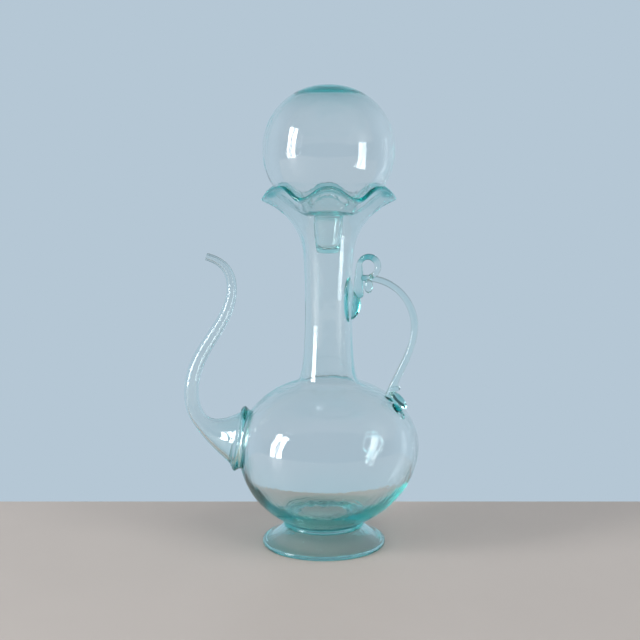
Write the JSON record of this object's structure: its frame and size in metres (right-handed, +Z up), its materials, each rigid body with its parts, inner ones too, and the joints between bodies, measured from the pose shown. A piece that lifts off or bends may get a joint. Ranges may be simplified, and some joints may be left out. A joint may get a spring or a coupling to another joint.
{
  "type": "glass ewer",
  "caption": "Hand-blown pale aqua glass ewer: round bulb on a flared foot, tall neck with a ruffled lip, swan-neck spout, thin rod handle and hollow ball stopper.",
  "frame": {"origin": "on the surface it stands on, at the middle of the foot's flat ring", "axes": "+Z up along the neck; the spout points along -X and the handle lies on the +X side, turned 15 degrees towards -Y"},
  "size_m": [0.1995, 0.154, 0.3882],
  "materials": {
    "ewer_glass": "clear blown glass, pale aqua, deeper teal where it is seen along its edge",
    "stopper_glass": "clear blown glass, pale aqua, thick at the top"
  },
  "bodies": {
    "root": {"ewer": "ewer_glass", "stopper": "stopper_glass"}
  },
  "joints": []
}
